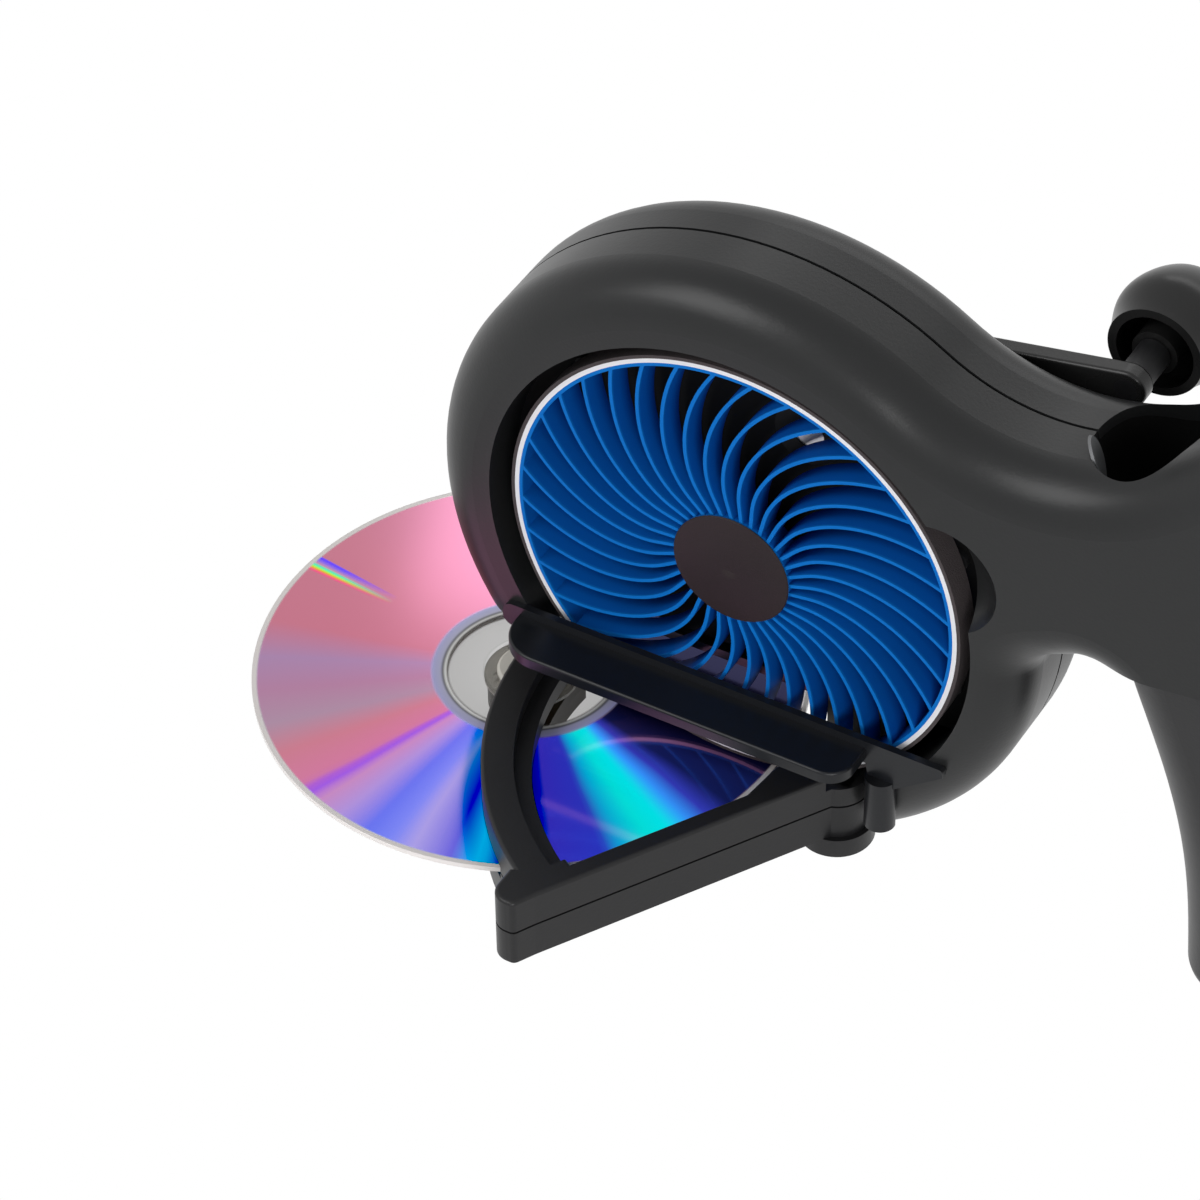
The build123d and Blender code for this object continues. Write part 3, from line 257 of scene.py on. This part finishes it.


# the disc: clear hub, silver ring, and a recorded band, with rainbow rays painted on as painted reflections
# that glow by emission
discLook = {
    "radius": 60.0 * mm,
    "mirror": (0.40, 0.165, 0.27),
    # painted shade for the mirror under the housing, and the dimmed painted glow there
    "shaded": (0.012, 0.012, 0.03), "shadedGlow": (0.0, 0.0, 0.004),
    "roughness": 0.10, "bumpStrength": 0.5, "bumpDistance": 0.2 * mm,
    # painted ray colours, over the whole turn, from the right and against the clock
    "rays": [
        (0.000, (0.02, 0.02, 0.12)), (0.040, (0.42, 0.16, 0.30)), (0.110, (0.30, 0.22, 0.44)),
        (0.170, (0.22, 0.24, 0.60)), (0.230, (0.45, 0.22, 0.42)), (0.330, (0.40, 0.24, 0.40)),
        (0.390, (0.52, 0.19, 0.28)), (0.455, (0.54, 0.19, 0.26)), (0.540, (0.54, 0.18, 0.25)),
        (0.570, (0.38, 0.23, 0.40)), (0.600, (0.42, 0.21, 0.34)), (0.630, (0.40, 0.26, 0.36)),
        (0.655, (0.58, 0.20, 0.27)), (0.683, (0.62, 0.19, 0.34)), (0.690, (0.30, 0.07, 0.80)),
        (0.698, (0.56, 0.25, 0.52)), (0.715, (0.42, 0.28, 0.70)), (0.735, (0.13, 0.17, 0.86)),
        (0.752, (0.20, 0.24, 0.90)), (0.765, (0.40, 0.34, 0.78)), (0.790, (0.14, 0.12, 0.72)),
        (0.806, (0.08, 0.55, 0.98)), (0.818, (0.05, 0.10, 0.60)), (0.842, (0.03, 0.02, 0.42)),
        (0.878, (0.02, 0.03, 0.46)), (0.888, (0.0, 0.34, 0.62)), (0.905, (0.0, 0.70, 0.66)),
        (0.920, (0.0, 0.74, 0.78)), (0.932, (0.03, 0.30, 0.95)), (0.945, (0.03, 0.04, 0.42)),
        (0.960, (0.005, 0.008, 0.06)), (1.000, (0.004, 0.005, 0.03))],
    "lean": 0.012, "leanScale": 22.0,
    # where the mirror's own tint is left to add to the rays
    "tinted": [(0.0, black), (0.10, black), (0.14, white), (0.835, white), (0.845, black)],
    "hubTint": (0.62, 0.36, 0.46), "hubTintShare": 0.22, "tintRadii": (58.9 * mm, 21.7 * mm),
    # a narrow painted rainbow streak near the rim
    "streakAngle": 174.6, "streakHalf": 2.6, "streakRadii": (37.0 * mm, 52.0 * mm),
    "spectrum": [
        (0.0, (0.35, 0.16, 0.60)), (0.12, (0.10, 0.05, 1.0)), (0.3, (0.28, 0.16, 0.75)),
        (0.44, (0.55, 0.28, 0.4)), (0.56, (0.05, 0.85, 0.55)), (0.66, (0.35, 0.95, 0.10)),
        (0.76, (0.85, 0.35, 0.05)), (0.86, (0.9, 0.10, 0.25)), (1.0, (0.54, 0.18, 0.25))],
    "streakEnds": [(0.0, black), (0.08, white), (0.92, white), (1.0, black)],
    # from the middle to the rim: moulded ring, clear hub, silver ring, recorded band, clear rim
    "bands": [
        (0.125, (0.05, 0.03, 0.015)), (0.165, (0.03, 0.02, 0.012)), (0.172, (0.12, 0.10, 0.08)),
        (0.180, (0.04, 0.03, 0.015)), (0.290, (0.05, 0.035, 0.02)), (0.300, (0.10, 0.09, 0.08)),
        (0.308, (0.75, 0.75, 0.74)), (0.318, (0.05, 0.05, 0.06)), (0.326, (0.42, 0.42, 0.60)),
        (0.358, (0.40, 0.40, 0.72)), (0.975, (0.50, 0.46, 0.52)), (0.985, (0.78, 0.74, 0.72))],
    "recorded": [(0.352, black), (0.364, white), (0.978, white), (0.984, black)],
    "cover": [
        (0.125, grey(0.25)), (0.166, grey(0.2)), (0.170, grey(0.45)), (0.176, grey(0.33)),
        (0.296, grey(0.36)), (0.303, white)],
    "height": [
        (0.162, grey(0.4)), (0.170, white), (0.178, grey(0.4)),
        (0.298, grey(0.4)), (0.306, black), (0.314, grey(0.4))],
    # where the painted shade under the housing lies, front to back and left to right, as shares of the
    # disc's width
    "paintedShadeFrontBack": [(0.44, black), (0.50, white), (0.80, white), (0.84, black)],
    "paintedShadeLeftRight": [(0.40, black), (0.46, white)],
}


def rangeNode(tree, value, limits, top=1.0):
    node = addNode(tree, "ShaderNodeMapRange")
    node.inputs["From Min"].default_value, node.inputs["From Max"].default_value = limits
    node.inputs["To Max"].default_value = top
    link(tree, value, node.inputs["Value"])
    return node.outputs[0]


def addRays(tree, radius, turn, turned):
    # painted ray colours, standing in for the light that the recorded band breaks up
    rays = rampNode(tree, turned, discLook["rays"])
    # a paler, greyer tint towards the hub
    inner = rangeNode(tree, radius, discLook["tintRadii"], discLook["hubTintShare"])
    rays = mixColour(tree, inner, rays, discLook["hubTint"], "SOFT_LIGHT")
    streak = mathNode(tree, "SUBTRACT", mathNode(tree, "MULTIPLY", turn, 360.0), discLook["streakAngle"])
    share = mathNode(tree, "MULTIPLY_ADD", streak, 0.5 / discLook["streakHalf"], 0.5)
    spectrum = rampNode(tree, share, discLook["spectrum"])
    across = rampNode(tree, share, discLook["streakEnds"])
    along = rangeNode(tree, radius, discLook["streakRadii"])
    return mixColour(tree, mathNode(tree, "MULTIPLY", across, along), rays, spectrum)


def paintedShadeUnderHousing(tree):
    # the painted shade's place, which stays where the housing is when the disc turns or swings
    fixed = addNode(tree, "ShaderNodeNewGeometry")
    _, place = splitPlace(tree, fixed.outputs["Position"], discCentre)
    width = 2 * discLook["radius"]
    paintedShadeDeep = rampNode(tree, mathNode(tree, "MULTIPLY_ADD", place["Y"], 1 / width, 0.5), discLook["paintedShadeFrontBack"])
    wide = rampNode(tree, mathNode(tree, "MULTIPLY_ADD", place["X"], 1 / width, 0.5), discLook["paintedShadeLeftRight"])
    return mathNode(tree, "MULTIPLY", paintedShadeDeep, wide)


def makeRayGroup():
    tree, inside, outside = newGroup(
        "disc rays", [("Disc radius", "NodeSocketFloat", discLook["radius"])],
        [("Colour", "NodeSocketColor"), ("Rays", "NodeSocketColor"), ("Recorded", "NodeSocketFloat"),
         ("Cover", "NodeSocketFloat"), ("Height", "NodeSocketFloat")])
    place = addNode(tree, "ShaderNodeTexCoord")
    centred, split = splitPlace(tree, place.outputs["Object"], discCentre)
    x, y = split["X"], split["Y"]
    radius = mathNode(tree, "SQRT", mathNode(tree, "ADD", mathNode(tree, "MULTIPLY", x, x),
                                             mathNode(tree, "MULTIPLY", y, y)))
    turn = mathNode(tree, "DIVIDE", mathNode(tree, "ARCTAN2", y, x), 2 * math.pi)
    turn = mathNode(tree, "FRACT", mathNode(tree, "ADD", turn, 1.0))
    # the rays lean a little as they run outwards
    wobble = addNode(tree, "ShaderNodeTexNoise")
    wobble.inputs["Scale"].default_value = discLook["leanScale"]
    link(tree, centred, wobble.inputs["Vector"])
    lean = mathNode(tree, "SUBTRACT", wobble.outputs["Fac"], 0.5)
    turned = mathNode(tree, "ADD", turn, mathNode(tree, "MULTIPLY", lean, discLook["lean"]))
    rays = addRays(tree, radius, turn, turned)
    reach = mathNode(tree, "DIVIDE", radius, inside.outputs["Disc radius"])
    recorded = rampNode(tree, reach, discLook["recorded"])
    # the mirror layer is pink, and what the painted rays add to it is painted glow, fed to emission
    added = mixColour(tree, 1.0, rays, discLook["mirror"], "SUBTRACT")
    paintedGlow = mixColour(tree, rampNode(tree, turned, discLook["tinted"]), rays, added)
    # painted shade: under the housing the mirror is painted dark, as a painted reflection of the housing's
    # dark inside, and the painted glow is nearly put out
    under = paintedShadeUnderHousing(tree)
    mirror = mixColour(tree, under, discLook["mirror"], discLook["shaded"])
    paintedGlow = mixColour(tree, under, paintedGlow, discLook["shadedGlow"])
    link(tree, mixColour(tree, recorded, rampNode(tree, reach, discLook["bands"]), mirror),
         outside.inputs["Colour"])
    link(tree, mixColour(tree, recorded, black, paintedGlow), outside.inputs["Rays"])
    link(tree, recorded, outside.inputs["Recorded"])
    link(tree, rampNode(tree, reach, discLook["cover"]), outside.inputs["Cover"])
    link(tree, rampNode(tree, reach, discLook["height"]), outside.inputs["Height"])
    return tree


def makeDiscMaterial():
    material = bpy.data.materials.new("disc")
    material.use_nodes = True
    tree = material.node_tree
    shader = tree.nodes["Principled BSDF"]
    rays = addNode(tree, "ShaderNodeGroup", node_tree=makeRayGroup())
    link(tree, rays.outputs["Colour"], shader.inputs["Base Color"])
    bump = addNode(tree, "ShaderNodeBump")
    bump.inputs["Strength"].default_value = discLook["bumpStrength"]
    bump.inputs["Distance"].default_value = discLook["bumpDistance"]
    link(tree, rays.outputs["Height"], bump.inputs["Height"])
    link(tree, bump.outputs["Normal"], shader.inputs["Normal"])
    link(tree, rays.outputs["Recorded"], shader.inputs["Metallic"])
    # the painted glow of the rays, on a disc that is no lamp
    link(tree, rays.outputs["Rays"], shader.inputs["Emission Color"])
    link(tree, rays.outputs["Cover"], shader.inputs["Alpha"])
    shader.inputs["Emission Strength"].default_value = 1.0
    shader.inputs["Roughness"].default_value = discLook["roughness"]
    return material


slotMaterials["disc_clear"] = makeDiscMaterial()

for subpart in frame["record"]["subparts"]:
    node = nodes[subpart["node"]]
    node.data.materials.clear()
    node.data.materials.append(slotMaterials[subpart["material_slot"]])
print("finishes assigned:", len(slotMaterials))

# the camera: its place in mm, its angles in degrees
cameraPlace = {"position": (272.241, -720.728, 804.305), "azimuth": 30.8270, "elevation": 42.6518,
               "roll": -0.9507, "lens": 160.14, "sensor": 36.0, "near": 0.05, "far": 20.0}


def makeCamera():
    data = bpy.data.cameras.new("camera")
    camera = bpy.data.objects.new("camera", data)
    bpy.context.scene.collection.objects.link(camera)
    azimuth = math.radians(cameraPlace["azimuth"])
    elevation = math.radians(cameraPlace["elevation"])
    roll = math.radians(cameraPlace["roll"])
    level = math.cos(elevation)
    back = Vector((math.sin(azimuth) * level, -math.cos(azimuth) * level, math.sin(elevation)))
    right = (-back).cross(Vector((0, 0, 1))).normalized()
    up = right.cross(-back)
    rightRolled = math.cos(roll) * right + math.sin(roll) * up
    upRolled = -math.sin(roll) * right + math.cos(roll) * up
    turn = Matrix((rightRolled, upRolled, back)).transposed()
    camera.matrix_world = Matrix.Translation(Vector(cameraPlace["position"]) * mm) @ turn.to_4x4()
    data.sensor_width = cameraPlace["sensor"]
    data.sensor_fit = "HORIZONTAL"
    data.lens = cameraPlace["lens"]
    data.clip_start = cameraPlace["near"]
    data.clip_end = cameraPlace["far"]
    bpy.context.scene.camera = camera


makeCamera()
print("camera placed")


def seenRays(tree):
    # 1 for what the camera, a mirror or glass sees, and 0 for what lights the object
    rays = addNode(tree, "ShaderNodeLightPath")
    seen = mathNode(tree, "MAXIMUM", rays.outputs["Is Camera Ray"], rays.outputs["Is Glossy Ray"])
    return mathNode(tree, "MAXIMUM", seen, rays.outputs["Is Transmission Ray"])


floorLook = {"size": 6.0, "colour": (0.86, 0.86, 0.86)}


def makeFloor():
    mesh = bpy.data.meshes.new("floor")
    half = floorLook["size"] / 2
    corners = [(-half, -half, 0), (half, -half, 0), (half, half, 0), (-half, half, 0)]
    mesh.from_pydata(corners, [], [(0, 1, 2, 3)])
    floor = bpy.data.objects.new("floor", mesh)
    bpy.context.scene.collection.objects.link(floor)
    material = bpy.data.materials.new("floor")
    material.use_nodes = True
    tree = material.node_tree
    tree.nodes.clear()
    out = addNode(tree, "ShaderNodeOutputMaterial")
    matte = addNode(tree, "ShaderNodeBsdfDiffuse")
    matte.inputs["Color"].default_value = (*floorLook["colour"], 1.0)
    shown = addNode(tree, "ShaderNodeEmission")
    shown.inputs["Strength"].default_value = 1.0
    mix = addNode(tree, "ShaderNodeMixShader")
    link(tree, seenRays(tree), mix.inputs[0])
    link(tree, matte.outputs[0], mix.inputs[1])
    link(tree, shown.outputs[0], mix.inputs[2])
    link(tree, mix.outputs[0], out.inputs["Surface"])
    mesh.materials.append(material)


makeFloor()

# place, aim and size in m, power in W
lamps = {
    "key": dict(place=(-0.9, -1.0, 1.1), aim=(-0.1, 0.0, 0.05), size=(0.9, 0.9), power=11.0),
    "front": dict(place=(0.75, -1.3, 0.5), aim=(-0.08, 0.0, 0.06), size=(0.8, 0.5), power=12.0),
    "back": dict(place=(-0.2, 1.2, 1.0), aim=(-0.1, 0.0, 0.08), size=(1.4, 0.4), power=3.0),
}


def makeLamps():
    for name, look in lamps.items():
        data = bpy.data.lights.new(name, "AREA")
        data.shape = "RECTANGLE"
        data.size, data.size_y = look["size"]
        data.energy = look["power"]
        lamp = bpy.data.objects.new(name, data)
        lamp.location = look["place"]
        aim = Vector(look["aim"]) - Vector(look["place"])
        lamp.rotation_euler = aim.to_track_quat("-Z", "Y").to_euler()
        bpy.context.scene.collection.objects.link(lamp)


makeLamps()

# the sky is white where it is seen, and lights the object more from the sides than from above
worldLook = {"seen": 1.0, "light": 1.0, "sky": [(0.0, grey(0.55)), (0.35, grey(0.55)), (0.75, grey(0.18))]}


def makeWorld():
    world = bpy.data.worlds.new("studio")
    bpy.context.scene.world = world
    world.use_nodes = True
    tree = world.node_tree
    tree.nodes.clear()
    out = addNode(tree, "ShaderNodeOutputWorld")
    seen = addNode(tree, "ShaderNodeBackground")
    seen.inputs["Color"].default_value = (*white, 1.0)
    seen.inputs["Strength"].default_value = worldLook["seen"]
    light = addNode(tree, "ShaderNodeBackground")
    light.inputs["Strength"].default_value = worldLook["light"]
    place = addNode(tree, "ShaderNodeTexCoord")
    _, towards = splitPlace(tree, place.outputs["Generated"])
    link(tree, rampNode(tree, towards["Z"], worldLook["sky"]), light.inputs["Color"])
    mix = addNode(tree, "ShaderNodeMixShader")
    link(tree, seenRays(tree), mix.inputs[0])
    link(tree, light.outputs[0], mix.inputs[1])
    link(tree, seen.outputs[0], mix.inputs[2])
    link(tree, mix.outputs[0], out.inputs["Surface"])


makeWorld()
bpy.context.scene.view_settings.view_transform = "Standard"
print("camera, floor and light made")
